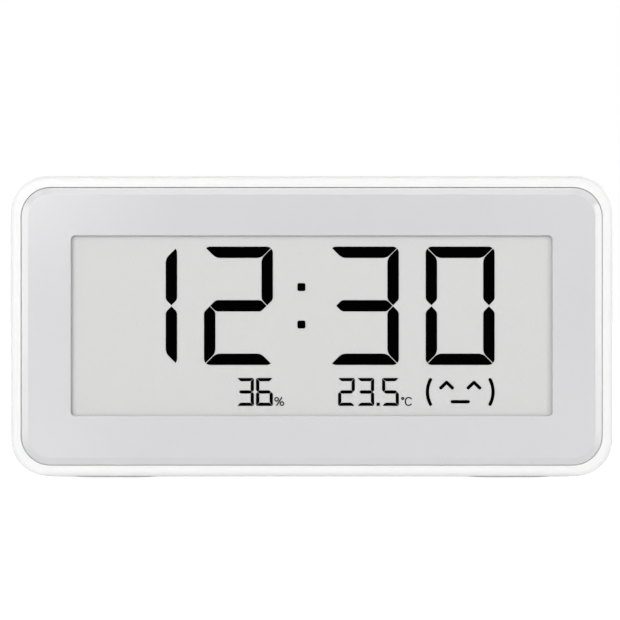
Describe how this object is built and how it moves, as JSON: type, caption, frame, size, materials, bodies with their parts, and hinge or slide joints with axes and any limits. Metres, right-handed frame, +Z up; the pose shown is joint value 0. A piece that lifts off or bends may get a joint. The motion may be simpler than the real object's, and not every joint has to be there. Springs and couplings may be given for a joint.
{
  "type": "digital clock",
  "caption": "Low, wide desk clock with a white rounded housing, a flat grey front panel and a recessed paper-like display of time, humidity and temperature.",
  "frame": {"origin": "under the middle of the clock, on the surface it stands on", "axes": "+Z up, +X to the viewer's right along the length, and the display faces -Y"},
  "size_m": [0.111, 0.023, 0.0557],
  "materials": {
    "shell_white": "fine matte",
    "panel_grey": "satin",
    "foam_black": "foam",
    "paper_film": "paper-like",
    "ink_black": "matte",
    "display_glass": "clear",
    "chip_black": "moulded",
    "carrier_grey": "moulded",
    "screw_steel": "plain",
    "ribbon_amber": "film",
    "stiffener_blue": "film",
    "connector_ivory": "moulded",
    "latch_brown": "moulded",
    "board_green": "solder mask",
    "can_steel": "bright",
    "ferrite": "plain",
    "tantalum_yellow": "moulded",
    "ceramic_tan": "plain",
    "sensor_white": "moulded",
    "copper_gold": "plated",
    "spring_steel": "plated",
    "seal_black": "plain",
    "button_grey": "fine matte",
    "plunger_black": "moulded",
    "mesh_grey": "woven",
    "foot_rubber": "soft"
  },
  "bodies": {
    "root": {"rear_housing": "shell_white", "front_panel": "panel_grey", "display_gasket": "foam_black", "display_film": "paper_film", "time_figures": "ink_black", "colon_dots": "ink_black", "humidity_figures": "ink_black", "temperature_figures": "ink_black", "comfort_face": "ink_black", "display_glass": "display_glass", "display_driver_chip": "chip_black", "display_carrier": "carrier_grey", "carrier_screws": "screw_steel", "display_ribbon": "ribbon_amber", "ribbon_stiffener": "stiffener_blue", "ribbon_connector": "connector_ivory", "main_board": "board_green", "board_screws": "screw_steel", "controller_chip": "chip_black", "memory_chip": "chip_black", "main_crystal": "can_steel", "watch_crystal": "can_steel", "boost_inductor": "ferrite", "bulk_capacitor": "tantalum_yellow", "diodes": "chip_black", "capacitors": "ceramic_tan", "resistors": "chip_black", "humidity_sensor": "sensor_white", "antenna": "copper_gold", "negative_contacts": "spring_steel", "positive_contacts": "spring_steel", "left_cell_can": "can_steel", "left_cell_seal": "seal_black", "left_cell_cap": "can_steel", "right_cell_can": "can_steel", "right_cell_seal": "seal_black", "right_cell_cap": "can_steel", "switch_case": "chip_black", "switch_cover": "can_steel", "switch_dome": "copper_gold", "vent_mesh": "mesh_grey", "foot_left": "foot_rubber", "foot_right": "foot_rubber"},
    "battery_door": {"battery_door": "shell_white", "door_latch": "shell_white", "door_pad": "foam_black"},
    "unit_button": {"unit_button": "button_grey"},
    "switch_plunger": {"switch_plunger": "plunger_black"},
    "connector_latch": {"connector_latch": "latch_brown"}
  },
  "joints": [
    {"name": "door_hinge", "type": "hinge", "parent": "root", "child": "battery_door", "pos_m": [0, 0.01035, 0.01305], "axis": [-1, 0, 0], "range_deg": [0, 90], "deforming": ["door_latch"]},
    {"name": "button_press", "type": "slide", "parent": "root", "child": "unit_button", "axis": [0, -1, 0], "range_m": [0, 0.0003], "stiffness_N_per_m": 1500},
    {"name": "plunger_press", "type": "slide", "parent": "root", "child": "switch_plunger", "axis": [0, -1, 0], "range_m": [0, 0.0003], "deforming": ["switch_dome"]},
    {"name": "latch_flip", "type": "hinge", "parent": "root", "child": "connector_latch", "pos_m": [0, -0.00285, 0.0106], "axis": [1, 0, 0], "range_deg": [0, 90]}
  ],
  "couplings": [
    {"joint": "plunger_press", "follows": "button_press", "ratio": 1}
  ]
}
